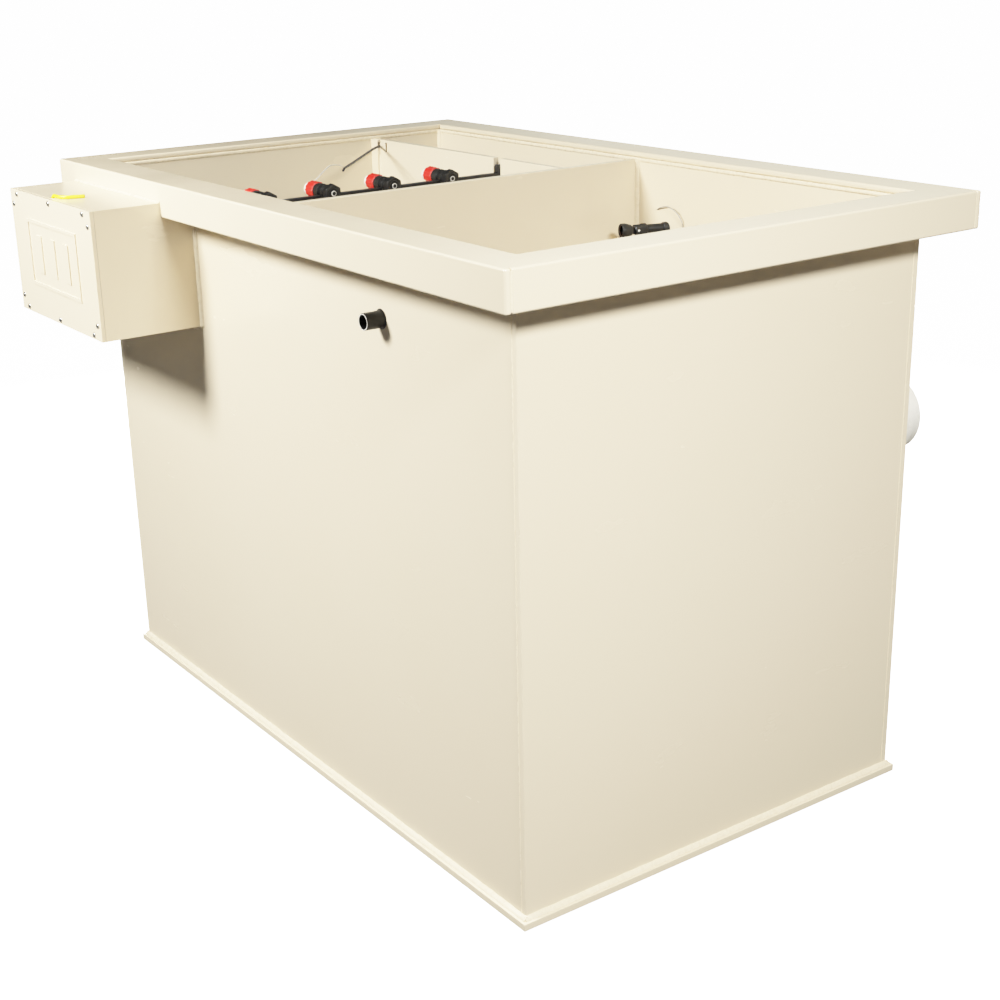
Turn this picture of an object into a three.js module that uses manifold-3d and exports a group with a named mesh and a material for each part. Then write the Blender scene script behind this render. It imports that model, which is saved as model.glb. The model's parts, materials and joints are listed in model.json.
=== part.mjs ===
// Tank-type salt chlorine generator: a welded plastic tank with two partitions, four electrolytic cell
// heads on a lift-out carrier, a level switch, pipe connections and a screwed control enclosure.
// Millimetres. The origin is on the floor, under the middle of the tank; +Z is up, X runs along the tank,
// and -Y is the front, where the enclosure and the inlet stub are.
import * as THREE from 'three';
import { mergeVertices } from 'three/addons/utils/BufferGeometryUtils.js';
import Module from 'manifold-3d';

const wasm = await Module();
wasm.setup();
const { Manifold, Mesh: SolidMesh } = wasm;

// ---------------------------------------------------------------- driving dimensions

const FIT = 0.5; // clearance on each side of a piece that lifts out or turns
const PASS = 1; // how far a cutting tool runs past the face it cuts
const ROUND = 32; // facets of a large round
const SMALL_ROUND = 28; // facets of a small round
const SCREW_ROUND = 14; // facets of a screw
const CABLE_ROUND = 8; // facets of a cable

const TANK = { length: 1280, width: 755, height: 970, sheet: 10 };
const BASE = { lip: 10, thickness: 12 };
const RIM = { overhang: 60, drop: 57, sheet: 10 };
const PARTITION = { sheet: 12, mainTop: 957, rearTop: 955, mainX: -3, rearY: 212 };

// A flat channel in the corner of the rear partition, and a slit through the partition beside it.
const DUCT = { width: 24, depth: 7, wall: 1.5, bottom: 560, notchBottom: 940, notchTop: 950 };
const SLIT = { x: -585, width: 6, bottom: 932, top: 950 };

// The carrier bar lies across the cell compartment. Its lug hangs in a slot that is wider than the bar.
const CARRIER = {
  x: -199, thickness: 10, bottom: 865, top: 929.5, lugTop: 944, lugLength: 20, slotSpare: 10,
};
const BRACKET = { reach: 26, cheek: 8, floor: 12, above: 10 };
const CELLS = { count: 4, pitch: 122.5, lastY: 83.5, z: 934 };

// Radii of one cell head's pieces, and places along its axis, counted from the carrier's middle.
const CELL = { body: 13, neck: 11, stud: 9, cap: 15, core: 4.6, coreBore: 2, tip: 11, nutFlats: 28 };
const ALONG = {
  coreTip: -57, capFront: -45, capStud: -37, capEnd: -21,
  nutStart: 17.9, nutEnd: 29, nutStud: 29.3, coreEnd: 30.3,
};
const COLLAR = { start: 2, ribs: 3, pitch: 3.3, groove: 1 };
const CAP = { ribs: 12, groove: 1, round: 2 };
const PLATES = { count: 6, thickness: 2.5, pitch: 9, width: 58, length: 290, header: 12 };

// The black cable hangs from the duct to its free end; a thin white lead loops on to the second head.
const CABLE = {
  radius: 2.3,
  start: [2.2, -3.5, 942], // distance right of the duct, distance in front of the partition, height
  path: [[-574, 174, 944], [-534, 133, 943], [-491, 88, 940.5], [-450, 46, 938.5], [-420, 15.5, 937.7],
    [-404, -1, 937], [-399.6, -5.4, 934.4]],
};
const LEAD = {
  radius: 1,
  path: [[-404, -1, 940], [-387, -18, 946], [-357, -48, 953], [-335, -71, 955.6], [-312, -94, 953.3],
    [-293.5, -113, 950], [-279, -128, 946.6]],
  gap: 1.5, // left free between the lead's end and the tip of the head it serves
};

const INLET = {
  x: 317, z: 834, radius: 12.5, bore: 10, outside: 30, inside: 8, edge: 0.3, flare: 0.8, flareDepth: 2,
};
const INLET_BEAD = { radius: 15, length: 4 };
const OUTLET = { x: 550, z: 596, radius: 68, bore: 55, outside: 66, collar: 46, lip: 6 };

// The level switch leans sideways from the back wall. Its places are distances from the wall along its axis.
const SWITCH = {
  x: 82, z: 845, lean: 17.2, stem: 8, flange: 10, flangeLength: 7, hexFlats: 19, hexStart: 38, hexEnd: 62,
  pivot: 56, pin: 2.5, slotHalf: 4.5, slotStart: 48.5,
};
const FLOAT = {
  back: 67, waist: 69.5, throat: 79, mouth: 87, backRadius: 9.5, waistRadius: 10, mouthRadius: 13, wall: 2,
  tongue: 6,
};
// The switch's thin lead: along X, distance in front of the wall, and height, from where the switch starts.
const SWITCH_LEAD = {
  radius: 0.9,
  path: [[-22, 1, 29], [-12, 4, 34], [11, 6, 38], [32, 6, 31], [44, 4, 18], [46, 1, 4]],
};

const ENCLOSURE = { left: -628, right: -268, bottom: 720, top: 937, depth: 184, sheet: 8, cover: 6 };
const GASKET = { thickness: 1, inset: 1, width: 17 };
const BOSS = { size: 18, length: 24, drilled: 22 };
const COVER_SCREW = {
  edge: 7.5, corner: 32, side: 13, sideCorner: 26,
  headRadius: 4.5, headHeight: 2.5, shankRadius: 2, length: 22,
};
// Plain raised relief on the cover: a frame with upright bars in it.
const RELIEF = {
  height: 2, halfWidth: 110, line: 6, above: 55, below: 45, bars: 3, barPitch: 60, barHalf: 11, gap: 25,
};

// Devices in the enclosure. left and bottom are counted from the enclosure's own lower left corner.
const PLATE = { inset: 28, bottom: 18, top: 180, thickness: 3, standoff: 14 };
const SUPPLY = { left: 50, bottom: 60, width: 130, depth: 62, height: 100 };
const FINS = { gaps: 8, first: 7, pitch: 15, gap: 8, depth: 14, margin: 6 };
const CARD = {
  left: 200, bottom: 80, width: 96, height: 80, thickness: 2, standoff: 10, foot: 5, footInset: 4,
};
const RELAY = { count: 3, first: 8, pitch: 28, width: 20, depth: 18, bottom: 40, height: 30 };
const BLOCK = { left: 50, bottom: 28, width: 240, depth: 30, height: 20 };
const WELL = { count: 12, first: 6, pitch: 19.5, width: 12, depth: 6, margin: 5 };
const GLAND = {
  x: -420, y: -450, radius: 10, bore: 5, flange: 14, flangeHeight: 12, taper: 4, height: 22, inside: 8,
};

// The yellow lead comes up through a hole in the enclosure's top and lies on it. Heights are from the top.
const EARTH = {
  radius: 3,
  hole: 5.5,
  path: [[-458, -548, -12], [-458, -548, -3], [-456, -547.8, 2.2], [-451, -547.2, 4], [-444, -546, 3.4],
    [-434, -543.5, 3.2], [-425, -537, 3.2], [-419, -525, 3.2], [-415, -508, 3.2]],
};

// ---------------------------------------------------------------- materials

function material(color, roughness, metalness = 0) {
  return new THREE.MeshStandardMaterial({ color, roughness, metalness });
}

const CREAM = material(0xe8dfcb, 0.38);
const BLACK = material(0x1d1d1e, 0.5);
const RED = material(0xd8402c, 0.4);
const WHITE = material(0xe9e7e0, 0.35);
const YELLOW = material(0xe0cf20, 0.45);
const RUBBER = material(0xc4beb0, 0.85);
const STEEL = material(0x9a9a98, 0.3, 1);
const TITANIUM = material(0x8b8781, 0.4, 1);
const BOARD = material(0x2f6b45, 0.5);
const GREY = material(0xb9bcbd, 0.45);

// ---------------------------------------------------------------- helpers

// Places that several pieces share.
const HALF_LENGTH = TANK.length / 2;
const HALF_WIDTH = TANK.width / 2;
const INNER_LENGTH = HALF_LENGTH - TANK.sheet;
const INNER_WIDTH = HALF_WIDTH - TANK.sheet;
const OUTER_LENGTH = HALF_LENGTH + RIM.overhang;
const OUTER_WIDTH = HALF_WIDTH + RIM.overhang;
const WALL_TOP = TANK.height - RIM.sheet;
const FASCIA_BOTTOM = TANK.height - RIM.drop;
const REAR_FACE = PARTITION.rearY - PARTITION.sheet / 2;
const COVER_OUTER = -HALF_WIDTH - ENCLOSURE.depth;
const COVER_INNER = COVER_OUTER + ENCLOSURE.cover;

const machine = new THREE.Group();

function addPart(parent, name, geometry, finish) {
  const mesh = new THREE.Mesh(geometry, finish.clone());
  mesh.name = name;
  parent.add(mesh);
  return mesh;
}

// A box from its lowest and highest corners.
function boxBetween(low, high) {
  const size = high.map((value, i) => value - low[i]);
  const centre = high.map((value, i) => (value + low[i]) / 2);
  return new THREE.BoxGeometry(...size).translate(...centre);
}

// A solid of revolution about the x, y or z axis. points are [radius, distance along the axis].
function turned(points, axis, facets = SMALL_ROUND) {
  const profile = points.map(([radius, along]) => new THREE.Vector2(radius, along));
  if (THREE.ShapeUtils.area(profile) < 0) profile.reverse();
  const geometry = new THREE.LatheGeometry(profile, facets);
  if (axis === 'x') geometry.rotateZ(-Math.PI / 2);
  if (axis === 'z') geometry.rotateX(Math.PI / 2);
  return geometry;
}

// A plain round bar with its ends on the axis.
function bar(radius, start, end, axis, facets = SMALL_ROUND) {
  return turned([[0, start], [radius, start], [radius, end], [0, end]], axis, facets);
}

// A prism from an outline, extruded from 0 to depth along +Z of the outline's own plane.
function prism(outline, depth) {
  const shape = new THREE.Shape(outline.map(([u, v]) => new THREE.Vector2(u, v)));
  return new THREE.ExtrudeGeometry(shape, { depth, bevelEnabled: false });
}

// Turns an outline's own plane into the YZ plane, so that its extrusion runs along +X.
const TO_YZ = new THREE.Matrix4().makeBasis(
  new THREE.Vector3(0, 1, 0), new THREE.Vector3(0, 0, 1), new THREE.Vector3(1, 0, 0));

// An outline in the YZ plane, extruded along +X from x.
function prismAlongX(outline, x, depth) {
  return prism(outline, depth).applyMatrix4(TO_YZ).translate(x, 0, 0);
}

// A round rod along a curve.
function rodAlong(points, radius, steps) {
  const places = points.map((point) => new THREE.Vector3(...point));
  const path = new THREE.CatmullRomCurve3(places, false, 'catmullrom', 0.5);
  const section = new THREE.Shape();
  section.absarc(0, 0, radius, 0, 2 * Math.PI, false);
  return new THREE.ExtrudeGeometry(section, {
    steps, extrudePath: path, bevelEnabled: false, curveSegments: CABLE_ROUND,
  });
}

// A regular hexagon bar along X, with corners at its top and bottom.
function hexagonAlongX(acrossFlats, start, end) {
  const radius = acrossFlats / Math.sqrt(3);
  const outline = Array.from({ length: 6 }, (_, i) => {
    const angle = (i * Math.PI) / 3 + Math.PI / 2;
    return [radius * Math.cos(angle), radius * Math.sin(angle)];
  });
  return prismAlongX(outline, start, end - start);
}

function toSolid(geometry) {
  const bare = geometry.clone();
  bare.deleteAttribute('normal');
  bare.deleteAttribute('uv');
  const merged = mergeVertices(bare, 1e-4);
  const mesh = new SolidMesh({
    numProp: 3,
    vertProperties: new Float32Array(merged.attributes.position.array),
    triVerts: new Uint32Array(merged.index.array),
  });
  mesh.merge();
  return new Manifold(mesh);
}

function toGeometry(solid) {
  const mesh = solid.getMesh();
  const geometry = new THREE.BufferGeometry();
  geometry.setAttribute('position', new THREE.BufferAttribute(new Float32Array(mesh.vertProperties), 3));
  geometry.setIndex(new THREE.BufferAttribute(new Uint32Array(mesh.triVerts), 1));
  geometry.computeVertexNormals();
  return geometry;
}

function subtract(body, ...tools) {
  return toGeometry(tools.reduce((solid, tool) => solid.subtract(toSolid(tool)), toSolid(body)));
}

function join(...pieces) {
  const solids = pieces.map(toSolid);
  return toGeometry(solids.reduce((sum, solid) => sum.add(solid)));
}

function intersect(first, second) {
  return toGeometry(toSolid(first).intersect(toSolid(second)));
}

// ---------------------------------------------------------------- tank

function tankShell() {
  const sheet = TANK.sheet;
  addPart(machine, 'base_plate', boxBetween(
    [-HALF_LENGTH - BASE.lip, -HALF_WIDTH - BASE.lip, 0],
    [HALF_LENGTH + BASE.lip, HALF_WIDTH + BASE.lip, BASE.thickness]), CREAM);

  // Each wall covers the end of the next one, going round the tank.
  const front = boxBetween(
    [-HALF_LENGTH, -HALF_WIDTH, BASE.thickness], [INNER_LENGTH, -INNER_WIDTH, WALL_TOP]);
  const inletHole = bar(INLET.radius, -sheet, sheet, 'y', ROUND);
  inletHole.translate(INLET.x, -HALF_WIDTH + sheet / 2, INLET.z);
  addPart(machine, 'front_wall', subtract(front, inletHole), CREAM);

  const back = boxBetween(
    [-INNER_LENGTH, INNER_WIDTH, BASE.thickness], [HALF_LENGTH, HALF_WIDTH, WALL_TOP]);
  const outletHole = bar(OUTLET.bore, -sheet, sheet, 'y', ROUND);
  outletHole.translate(OUTLET.x, HALF_WIDTH - sheet / 2, OUTLET.z);
  addPart(machine, 'back_wall', subtract(back, outletHole), CREAM);

  addPart(machine, 'left_wall', boxBetween(
    [-HALF_LENGTH, -INNER_WIDTH, BASE.thickness], [-INNER_LENGTH, HALF_WIDTH, WALL_TOP]), CREAM);
  addPart(machine, 'right_wall', boxBetween(
    [INNER_LENGTH, -HALF_WIDTH, BASE.thickness], [HALF_LENGTH, INNER_WIDTH, WALL_TOP]), CREAM);
}

// One length of the rim, outer face at y = 0: a flange with mitred ends, welded to a square-ended fascia.
function rimLength(halfLength, fasciaHalf) {
  const reach = RIM.overhang + TANK.sheet;
  const flange = prismAlongX([
    [RIM.sheet, WALL_TOP], [reach, WALL_TOP], [reach, TANK.height], [RIM.sheet, TANK.height],
  ], 0, 1);
  const position = flange.attributes.position;
  for (let i = 0; i < position.count; i += 1) {
    const end = position.getX(i) > 0.5 ? 1 : -1;
    position.setX(i, end * (halfLength - position.getY(i)));
  }
  const fascia = boxBetween([-fasciaHalf, 0, FASCIA_BOTTOM], [fasciaHalf, RIM.sheet, TANK.height]);
  return join(flange, fascia);
}

// The front and back fascias run the full length; the side fascias fit between them.
function rim() {
  const sides = [
    ['rim_front', OUTER_LENGTH, OUTER_LENGTH, OUTER_WIDTH],
    ['rim_right', OUTER_WIDTH, OUTER_WIDTH - RIM.sheet, OUTER_LENGTH],
    ['rim_back', OUTER_LENGTH, OUTER_LENGTH, OUTER_WIDTH],
    ['rim_left', OUTER_WIDTH, OUTER_WIDTH - RIM.sheet, OUTER_LENGTH],
  ];
  sides.forEach(([name, halfLength, fasciaHalf, distance], quarterTurns) => {
    const geometry = rimLength(halfLength, fasciaHalf).translate(0, -distance, 0);
    const side = addPart(machine, name, geometry, CREAM);
    side.rotation.z = (quarterTurns * Math.PI) / 2;
  });
}

function partitions() {
  const half = PARTITION.sheet / 2;
  addPart(machine, 'main_partition', boxBetween(
    [PARTITION.mainX - half, -INNER_WIDTH, BASE.thickness],
    [PARTITION.mainX + half, INNER_WIDTH, PARTITION.mainTop]), CREAM);

  const rear = boxBetween(
    [-INNER_LENGTH, PARTITION.rearY - half, BASE.thickness],
    [PARTITION.mainX - half, PARTITION.rearY + half, PARTITION.rearTop]);
  const slotRight = CARRIER.x + CARRIER.thickness / 2 + FIT;
  const slotLeft = CARRIER.x - CARRIER.thickness / 2 - CARRIER.slotSpare;
  const slot = boxBetween(
    [slotLeft, REAR_FACE - PASS, CARRIER.bottom],
    [slotRight, REAR_FACE + PARTITION.sheet + PASS, PARTITION.rearTop + PASS]);
  const slit = boxBetween(
    [SLIT.x - SLIT.width / 2, REAR_FACE - PASS, SLIT.bottom],
    [SLIT.x + SLIT.width / 2, REAR_FACE + PARTITION.sheet + PASS, SLIT.top]);
  addPart(machine, 'rear_partition', subtract(rear, slot, slit), CREAM);
}

// A channel that is open towards the partition, with a notch in its right cheek for the cable.
function cableDuct() {
  const left = -INNER_LENGTH;
  const front = REAR_FACE - DUCT.depth;
  const right = left + DUCT.width;
  const body = boxBetween([left, front, DUCT.bottom], [right, REAR_FACE, PARTITION.rearTop]);
  const hollow = boxBetween(
    [left + DUCT.wall, front + DUCT.wall, DUCT.bottom - PASS],
    [right - DUCT.wall, REAR_FACE + PASS, PARTITION.rearTop + PASS]);
  const notch = boxBetween(
    [right - DUCT.wall - PASS, front + DUCT.wall, DUCT.notchBottom],
    [right + PASS, REAR_FACE + PASS, DUCT.notchTop]);
  addPart(machine, 'cable_duct', subtract(body, hollow, notch), CREAM);
}

// ---------------------------------------------------------------- pipe connections

// A plain pipe through the front wall. Its mouth is opened a little, and a bead surrounds it at the wall.
function inletStub() {
  const wall = -HALF_WIDTH;
  const end = wall - INLET.outside;
  const inner = wall + TANK.sheet + INLET.inside;
  const { radius, bore, edge, flare, flareDepth } = INLET;
  const stub = turned([
    [bore, inner], [radius, inner], [radius, wall], [INLET_BEAD.radius, wall],
    [radius, wall - INLET_BEAD.length], [radius, end + edge], [radius - edge, end], [bore + flare, end],
    [bore, end + flareDepth], [bore, inner],
  ], 'y', ROUND);
  addPart(machine, 'inlet_stub', stub.translate(INLET.x, 0, INLET.z), BLACK);
}

// A socket in two steps, bonded to the outside of the back wall.
function outletSocket() {
  const wall = HALF_WIDTH;
  const { radius, bore, outside, collar, lip } = OUTLET;
  const socket = turned([
    [bore, wall], [radius, wall], [radius, wall + collar - lip], [radius - lip, wall + collar],
    [bore + lip, wall + collar], [bore + lip, wall + outside], [bore, wall + outside], [bore, wall],
  ], 'y', ROUND);
  addPart(machine, 'outlet_socket', socket.translate(OUTLET.x, 0, OUTLET.z), WHITE);
}

// ---------------------------------------------------------------- cells

function cellY(index) {
  return CELLS.lastY - (CELLS.count - 1 - index) * CELLS.pitch;
}

// The carrier bar, with a round seat for each cell's neck and a lug that hangs in the partition slot.
function carrier() {
  const low = -INNER_WIDTH + FIT;
  const high = REAR_FACE + PARTITION.sheet + 4;
  const seat = CELL.neck + FIT;
  const seatEdge = Math.asin((CARRIER.top - CELLS.z) / seat);
  const shape = new THREE.Shape();
  shape.moveTo(low, CARRIER.bottom);
  shape.lineTo(high, CARRIER.bottom);
  shape.lineTo(high, CARRIER.lugTop);
  shape.lineTo(high - CARRIER.lugLength, CARRIER.lugTop);
  shape.lineTo(high - CARRIER.lugLength, CARRIER.top);
  for (let i = CELLS.count - 1; i >= 0; i -= 1) {
    shape.absarc(cellY(i), CELLS.z, seat, seatEdge, -Math.PI - seatEdge, true);
  }
  shape.lineTo(low, CARRIER.top);
  const geometry = new THREE.ExtrudeGeometry(shape, {
    depth: CARRIER.thickness, bevelEnabled: false, curveSegments: 12,
  });
  geometry.applyMatrix4(TO_YZ).translate(CARRIER.x - CARRIER.thickness / 2, 0, 0);
  addPart(machine, 'cell_carrier', geometry, BLACK);
}

// The channel welded to the front wall that holds the carrier's other end.
function carrierBracket() {
  const inner = -INNER_WIDTH;
  const front = inner + BRACKET.reach;
  const gap = CARRIER.thickness / 2 + FIT;
  const outside = gap + BRACKET.cheek;
  const top = CARRIER.top + BRACKET.above;
  const body = boxBetween(
    [CARRIER.x - outside, inner, CARRIER.bottom - BRACKET.floor], [CARRIER.x + outside, front, top]);
  const slot = boxBetween(
    [CARRIER.x - gap, inner - PASS, CARRIER.bottom], [CARRIER.x + gap, front + PASS, top + PASS]);
  addPart(machine, 'carrier_bracket', subtract(body, slot), CREAM);
}

// The cell body: a black fitting whose neck sits in the carrier. It has a ribbed collar and two studs.
function cellBody() {
  const seat = CARRIER.thickness / 2 + FIT;
  const { body, neck, stud, core } = CELL;
  const ribs = Array.from({ length: COLLAR.ribs }, (_, i) => {
    const x = seat + COLLAR.start + i * COLLAR.pitch;
    const groove = x + COLLAR.pitch / 2;
    const low = body - COLLAR.groove;
    return [[body, x], [body, groove], [low, groove], [low, x + COLLAR.pitch]];
  }).flat();
  const collarEnd = ribs.at(-1)[1];
  return turned([
    [core, ALONG.capStud], [stud, ALONG.capStud], [stud, ALONG.capEnd], [body, ALONG.capEnd], [body, -seat],
    [neck, -seat], [neck, seat], [body, seat], ...ribs, [stud, collarEnd], [stud, ALONG.nutStud],
    [core, ALONG.nutStud], [core, ALONG.capStud],
  ], 'x');
}

// The red cap: a ribbed cup over the body's stud, with a hole for the core.
function cellCap() {
  const section = new THREE.Shape();
  for (let i = 0; i < CAP.ribs * 2; i += 1) {
    const angle = (i * Math.PI) / CAP.ribs;
    const radius = i % 2 === 0 ? CELL.cap : CELL.cap - CAP.groove;
    section[i === 0 ? 'moveTo' : 'lineTo'](radius * Math.cos(angle), radius * Math.sin(angle));
  }
  const outside = new THREE.ExtrudeGeometry(section, {
    depth: ALONG.capEnd - ALONG.capFront - 2 * CAP.round - FIT,
    bevelEnabled: true, bevelThickness: CAP.round, bevelSize: CAP.round, bevelOffset: -CAP.round,
    bevelSegments: 3,
  }).applyMatrix4(TO_YZ).translate(ALONG.capFront + CAP.round, 0, 0);
  const socket = bar(CELL.stud + FIT, ALONG.capStud - FIT, 0, 'x');
  const coreHole = bar(CELL.core + FIT, ALONG.coreTip, 0, 'x');
  return subtract(outside, socket, coreHole);
}

function cellNut() {
  const corner = 1.5;
  const inside = CELL.nutFlats / 2;
  const outside = hexagonAlongX(CELL.nutFlats, ALONG.nutStart, ALONG.nutEnd);
  const chamfer = turned([
    [0, ALONG.nutStart], [inside + corner / 2, ALONG.nutStart],
    [inside + 2 * corner, ALONG.nutStart + corner], [inside + 2 * corner, ALONG.nutEnd - corner],
    [inside, ALONG.nutEnd], [0, ALONG.nutEnd],
  ], 'x', ROUND);
  const bore = bar(CELL.stud + FIT, 0, ALONG.nutEnd + PASS, 'x');
  return subtract(intersect(outside, chamfer), bore);
}

// The white core runs through the body: a wide tip outside the cap, and a small blind hole at the nut.
function cellCore() {
  const { core, coreBore, tip } = CELL;
  const round = 3;
  const holeDepth = 6;
  const shoulder = ALONG.capFront - FIT;
  return turned([
    [0, ALONG.coreTip], [tip - round, ALONG.coreTip], [tip - round / 3, ALONG.coreTip + round / 3],
    [tip, ALONG.coreTip + round], [tip, shoulder], [core, shoulder],
    [core, ALONG.coreEnd], [coreBore, ALONG.coreEnd], [coreBore, ALONG.coreEnd - holeDepth],
    [0, ALONG.coreEnd - holeDepth],
  ], 'x');
}

// A pack of parallel plates that hangs from a header under the carrier.
function electrodePack() {
  const half = ((PLATES.count - 1) * PLATES.pitch + PLATES.thickness) / 2;
  const outline = [[half, 0], [-half, 0]];
  for (let i = 0; i < PLATES.count; i += 1) {
    const left = -half + i * PLATES.pitch;
    const right = left + PLATES.thickness;
    outline.push([left, -PLATES.length], [right, -PLATES.length]);
    if (i < PLATES.count - 1) outline.push([right, -PLATES.header], [left + PLATES.pitch, -PLATES.header]);
  }
  return prismAlongX(outline, -PLATES.width / 2, PLATES.width);
}

function cells() {
  for (let i = 0; i < CELLS.count; i += 1) {
    const cell = new THREE.Group();
    cell.position.set(CARRIER.x, cellY(i), CELLS.z);
    machine.add(cell);
    const name = `cell_${i + 1}`;
    addPart(cell, `${name}_body`, cellBody(), BLACK);
    addPart(cell, `${name}_cap`, cellCap(), RED);
    addPart(cell, `${name}_nut`, cellNut(), BLACK);
    addPart(cell, `${name}_terminal`, cellCore(), WHITE);
    const pack = addPart(cell, `${name}_electrodes`, electrodePack(), TITANIUM);
    pack.position.z = CARRIER.bottom - CELLS.z;
  }
}

function cellCable() {
  const [right, ahead, height] = CABLE.start;
  const start = [-INNER_LENGTH + DUCT.width + right, REAR_FACE + ahead, height];
  addPart(machine, 'cell_cable', rodAlong([start, ...CABLE.path], CABLE.radius, 28), BLACK);
  const end = [CARRIER.x + ALONG.coreTip - LEAD.gap, cellY(1), CELLS.z + LEAD.radius];
  addPart(machine, 'cell_lead', rodAlong([...LEAD.path, end], LEAD.radius, 40), WHITE);
}

// ---------------------------------------------------------------- level switch

// Leans a piece made along -Y from the origin, and moves it to the switch's place on the back wall.
function leaning(geometry) {
  return geometry.rotateZ(-THREE.MathUtils.degToRad(SWITCH.lean)).translate(SWITCH.x, INNER_WIDTH, SWITCH.z);
}

// The stem is bonded to the back wall's inner face. Its hexagon is slotted for the float's tongue.
function switchStem() {
  const { stem, flange, flangeLength, hexFlats, hexStart, hexEnd, pivot, pin, slotHalf, slotStart } = SWITCH;
  const corner = 1;
  const shaft = turned([
    [0, -hexStart - PASS], [stem, -hexStart - PASS], [stem, -flangeLength], [flange - corner, -flangeLength],
    [flange, corner - flangeLength], [flange, flange], [0, flange],
  ], 'y');
  const hexagon = hexagonAlongX(hexFlats, hexStart, hexEnd).rotateZ(-Math.PI / 2);
  const half = hexFlats / 2;
  const chamfer = turned([
    [0, -hexEnd], [half - corner, -hexEnd], [half + corner, 2 * corner - hexEnd],
    [half + corner, -hexStart - 2 * corner], [half - corner, -hexStart], [0, -hexStart],
  ], 'y', ROUND);
  const slot = boxBetween([-slotHalf, -hexEnd - PASS, -hexFlats], [slotHalf, -slotStart, hexFlats]);
  const fork = subtract(intersect(hexagon, chamfer), slot);
  const crossPin = bar(pin, -slotHalf - PASS, slotHalf + PASS, 'x').translate(0, -pivot, 0);
  const wall = boxBetween(
    [SWITCH.x - 2 * flange, INNER_WIDTH, SWITCH.z - 2 * flange],
    [SWITCH.x + 2 * flange, HALF_WIDTH + flange, SWITCH.z + 2 * flange]);
  return subtract(leaning(join(shaft, fork, crossPin)), wall);
}

// The float: a cup that opens away from the wall, on a tongue that swings on the cross pin.
function switchFloat() {
  const { back, waist, throat, mouth, backRadius, waistRadius, mouthRadius, wall, tongue } = FLOAT;
  const { pivot, pin, slotHalf } = SWITCH;
  const lip = 1;
  const cup = turned([
    [0, -back], [backRadius - lip, -back], [backRadius, -back - lip], [waistRadius, -waist],
    [mouthRadius, -throat], [mouthRadius, lip - mouth], [mouthRadius - lip, -mouth],
    [mouthRadius - wall, -mouth], [mouthRadius - wall - lip, -throat], [0, 2 * wall - throat],
  ], 'y', ROUND);
  const half = slotHalf - FIT;
  const arm = boxBetween([-half, -back - lip, -tongue], [half, -pivot, tongue]);
  const eye = bar(tongue, -half, half, 'x').translate(0, -pivot, 0);
  const pinHole = bar(pin + FIT, -slotHalf, slotHalf, 'x').translate(0, -pivot, 0);
  return leaning(subtract(join(cup, arm, eye), pinHole));
}

function levelSwitch() {
  addPart(machine, 'level_switch_stem', switchStem(), BLACK);
  addPart(machine, 'level_float', switchFloat(), BLACK);
  const path = SWITCH_LEAD.path.map(([x, ahead, z]) => [SWITCH.x + x, INNER_WIDTH - ahead, SWITCH.z + z]);
  addPart(machine, 'level_switch_lead', rodAlong(path, SWITCH_LEAD.radius, 24), GREY);
}

// ---------------------------------------------------------------- enclosure

// Three screws along the top and the bottom edge, and two on each side, near the corners.
function coverScrewPlaces() {
  const { left, right, bottom, top } = ENCLOSURE;
  const { edge, corner, side, sideCorner } = COVER_SCREW;
  const rows = [top - edge, bottom + edge];
  const columns = [left + corner, (left + right) / 2, right - corner];
  const alongRows = rows.flatMap((z) => columns.map((x) => [x, z]));
  const alongSides = [left + side, right - side].flatMap(
    (x) => [top - sideCorner, bottom + sideCorner].map((z) => [x, z]));
  return [...alongRows, ...alongSides];
}

function screwHoles(start, end) {
  const radius = COVER_SCREW.shankRadius + FIT / 2;
  return coverScrewPlaces().map(([x, z]) => bar(radius, start, end, 'y', SCREW_ROUND).translate(x, 0, z));
}

function enclosureBody() {
  const { left, right, bottom, top, sheet } = ENCLOSURE;
  const back = -HALF_WIDTH;
  const front = COVER_INNER + GASKET.thickness;
  const fascia = -OUTER_WIDTH;
  // The side outline steps round the rim's fascia at the top of the back.
  const block = prismAlongX([
    [front, bottom], [back, bottom], [back, FASCIA_BOTTOM],
    [fascia, FASCIA_BOTTOM], [fascia, top], [front, top],
  ], left, right - left);
  const inside = prismAlongX([
    [front - PASS, bottom + sheet], [back - sheet, bottom + sheet], [back - sheet, FASCIA_BOTTOM - sheet],
    [fascia - sheet, FASCIA_BOTTOM - sheet], [fascia - sheet, top - sheet], [front - PASS, top - sheet],
  ], left + sheet, right - left - 2 * sheet);
  const half = BOSS.size / 2;
  const bosses = coverScrewPlaces().map(([x, z]) => boxBetween(
    [Math.max(x - half, left), front, Math.max(z - half, bottom)],
    [Math.min(x + half, right), front + BOSS.length, Math.min(z + half, top)]));
  const gland = bar(GLAND.radius, -sheet, 2 * sheet, 'z').translate(GLAND.x, GLAND.y, bottom);
  const [earthX, earthY] = EARTH.path[0];
  const earthHole = bar(EARTH.hole, -2 * sheet, sheet, 'z').translate(earthX, earthY, top);
  const bossed = join(subtract(block, inside), ...bosses);
  const holes = screwHoles(front - PASS, front + BOSS.drilled);
  addPart(machine, 'enclosure_body', subtract(bossed, ...holes, gland, earthHole), CREAM);
}

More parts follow.
